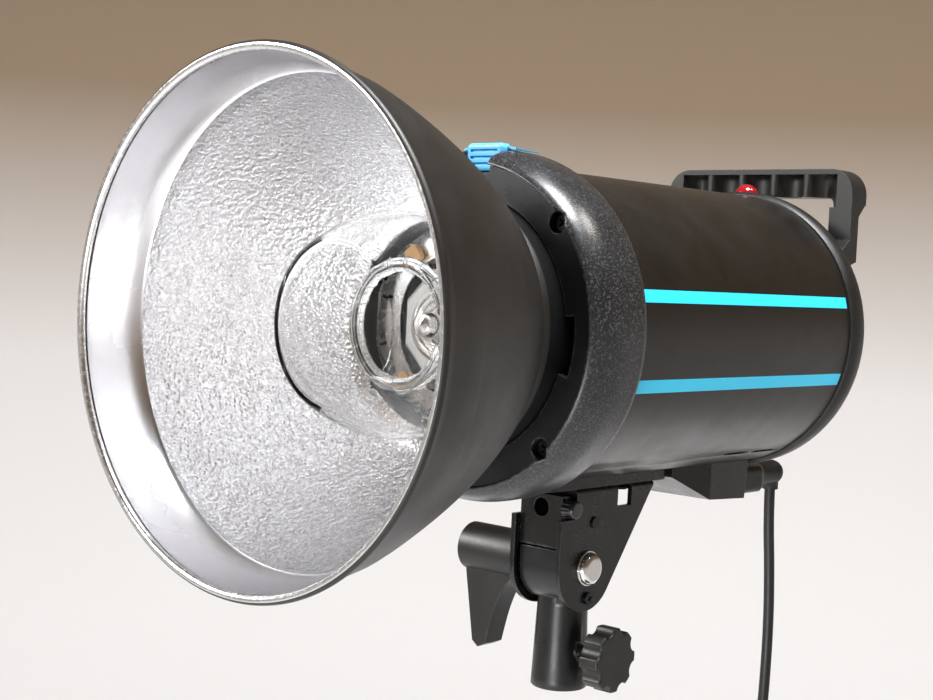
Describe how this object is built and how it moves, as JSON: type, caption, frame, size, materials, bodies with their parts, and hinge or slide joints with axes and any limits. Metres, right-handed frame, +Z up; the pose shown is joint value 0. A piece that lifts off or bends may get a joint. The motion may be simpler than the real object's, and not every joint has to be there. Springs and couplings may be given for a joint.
{
  "type": "monolight studio strobe",
  "caption": "Studio flash head with a bell reflector, glass dome, tilting stand bracket, umbrella hole, rear control panel with carrying handle, and a mains cord.",
  "frame": {"origin": "centre of the stand socket's open mouth", "axes": "+Z up out of the stand, the lamp faces -Y, +X is the side of the star knob"},
  "size_m": [0.203, 0.4013, 0.5005],
  "materials": {
    "satin_black": "satin black enamel with a fine texture",
    "reflector_paint": "matte black-brown paint outside, silvered inside",
    "neck_grey": "dark grey satin anodised",
    "collar_grey": "dark grey satin, finely speckled",
    "plate_black": "matte black casting",
    "slider_blue": "light blue moulded plastic",
    "moulded_black": "black moulded plastic, lightly grained",
    "bracket_paint": "satin olive-black paint",
    "socket_black": "satin black casting",
    "screw_steel": "bright steel",
    "dark_steel": "black oxide",
    "chrome": "polished chrome",
    "knob_gloss": "glossy black",
    "red_lens": "glossy red, translucent",
    "clear_glass": "clear heat-proof glass",
    "display_tint": "smoked clear window",
    "white_ceramic": "white glazed ceramic",
    "polished_plate": "polished sheet",
    "post_yellow": "amber ceramic standoff",
    "cord_rubber": "satin black cable sheath",
    "panel_grey": "charcoal panel, fine texture",
    "button_grey": "grey moulded keys",
    "board_green": "green solder mask",
    "can_blue": "blue sleeved can"
  },
  "bodies": {
    "stand": {"stand_socket": "socket_black", "friction_washers": "dark_steel"},
    "head": {"front_collar": "collar_grey", "mount_plate": "plate_black", "mount_screws": "dark_steel", "release_spring": "screw_steel", "dome_holder": "plate_black", "glass_dome": "clear_glass", "flash_tube": "clear_glass", "trigger_wire": "screw_steel", "inner_reflector": "polished_plate", "reflector_posts": "post_yellow", "lamp_socket": "white_ceramic", "modelling_lamp": "chrome", "body_tube": "satin_black", "rear_cover": "moulded_black", "rear_screws": "dark_steel", "photocell_dome": "red_lens", "control_panel": "panel_grey", "display_window": "display_tint", "sync_jack": "chrome", "inlet_housing": "bracket_paint", "power_inlet": "moulded_black", "iec_connector": "cord_rubber", "cord_tube": "cord_rubber", "cord_coil": "cord_rubber", "cord_tail": "cord_rubber", "cord_tie": "cord_rubber", "mains_plug": "cord_rubber", "bracket_rail": "bracket_paint", "bracket_yoke": "bracket_paint", "rail_screws": "dark_steel", "umbrella_clamp": "bracket_paint", "clamp_rivet": "dark_steel", "stop_screw": "dark_steel", "pivot_bolt": "chrome", "chassis": "polished_plate", "main_board": "board_green", "capacitors": "can_blue", "fan_frame": "knob_gloss"},
    "reflector": {"reflector_bowl": "reflector_paint", "reflector_neck": "neck_grey"},
    "release": {"release_slider": "slider_blue", "release_pin": "screw_steel"},
    "lever_turning": {"clamp_nut": "dark_steel", "lever_screw": "dark_steel", "lever_spring": "screw_steel"},
    "lever": {"tilt_lever": "moulded_black"},
    "stand_screw": {"stand_stud": "chrome"},
    "stand_star_knob": {"stand_knob": "knob_gloss"},
    "umbrella_screw_body": {"umbrella_screw": "screw_steel"},
    "umbrella_thumb_body": {"umbrella_thumb": "knob_gloss"},
    "dial": {"control_dial": "knob_gloss"},
    "key_model": {"button_model": "button_grey"},
    "key_slave": {"button_slave": "button_grey"},
    "key_buzzer": {"button_buzzer": "button_grey"},
    "key_test": {"button_test": "button_grey"},
    "rocker": {"power_switch": "knob_gloss"},
    "fuse": {"fuse_cap": "moulded_black"},
    "fan": {"fan_rotor": "knob_gloss"}
  },
  "joints": [
    {"name": "head_tilt", "type": "hinge", "parent": "stand", "child": "head", "pos_m": [0, -0.0025, 0.057], "axis": [1, 0, 0], "range_deg": [-80, 80]},
    {"name": "reflector_twist", "type": "hinge", "parent": "head", "child": "reflector", "pos_m": [0, -0.0765, 0.166], "axis": [0, -1, 0], "range_deg": [0, 25]},
    {"name": "release_slide", "type": "slide", "parent": "head", "child": "release", "axis": [0, 1, 0], "range_m": [0, 0.005], "stiffness_N_per_m": 600, "springref_m": -0.002, "deforming": ["release_spring"]},
    {"name": "lever_turn", "type": "hinge", "parent": "head", "child": "lever_turning", "pos_m": [0, -0.0025, 0.057], "axis": [1, 0, 0], "range_deg": [0, 180]},
    {"name": "lever_lift", "type": "slide", "parent": "lever_turning", "child": "lever", "axis": [-1, 0, 0], "range_m": [0, 0.006], "stiffness_N_per_m": 500, "springref_m": -0.003, "deforming": ["lever_spring"]},
    {"name": "stand_screw_travel", "type": "slide", "parent": "stand", "child": "stand_screw", "axis": [1, 0, 0], "range_m": [0, 0.002]},
    {"name": "stand_knob_turn", "type": "hinge", "parent": "stand_screw", "child": "stand_star_knob", "pos_m": [0.0268, 0, 0.0175], "axis": [1, 0, 0], "range_deg": [0, 720]},
    {"name": "umbrella_screw_travel", "type": "slide", "parent": "head", "child": "umbrella_screw_body", "axis": [1, 0, 0], "range_m": [0, 0.0014]},
    {"name": "umbrella_thumb_turn", "type": "hinge", "parent": "umbrella_screw_body", "child": "umbrella_thumb_body", "pos_m": [0.0158, -0.017, 0.0852], "axis": [1, 0, 0], "range_deg": [0, 720]},
    {"name": "dial_turn", "type": "hinge", "parent": "head", "child": "dial", "pos_m": [0, 0.154, 0.163], "axis": [0, 1, 0], "continuous": true},
    {"name": "press_model", "type": "slide", "parent": "head", "child": "key_model", "axis": [0, -1, 0], "range_m": [0, 0.0008], "stiffness_N_per_m": 400, "springref_m": -0.0005},
    {"name": "press_slave", "type": "slide", "parent": "head", "child": "key_slave", "axis": [0, -1, 0], "range_m": [0, 0.0008], "stiffness_N_per_m": 400, "springref_m": -0.0005},
    {"name": "press_buzzer", "type": "slide", "parent": "head", "child": "key_buzzer", "axis": [0, -1, 0], "range_m": [0, 0.0008], "stiffness_N_per_m": 400, "springref_m": -0.0005},
    {"name": "press_test", "type": "slide", "parent": "head", "child": "key_test", "axis": [0, -1, 0], "range_m": [0, 0.0008], "stiffness_N_per_m": 400, "springref_m": -0.0005},
    {"name": "power_rocker", "type": "hinge", "parent": "head", "child": "rocker", "pos_m": [-0.025, 0.145, 0.133], "axis": [1, 0, 0], "range_deg": [0, 16]},
    {"name": "fuse_cap_turn", "type": "hinge", "parent": "head", "child": "fuse", "pos_m": [0.008, 0.149, 0.129], "axis": [0, 1, 0], "range_deg": [-90, 0]},
    {"name": "fan_spin", "type": "hinge", "parent": "head", "child": "fan", "pos_m": [0, 0.109, 0.168], "axis": [0, 1, 0], "continuous": true}
  ],
  "couplings": [
    {"joint": "stand_knob_turn", "follows": "stand_screw_travel", "rad_per_m": 6283.2},
    {"joint": "umbrella_thumb_turn", "follows": "umbrella_screw_travel", "rad_per_m": 8976}
  ]
}
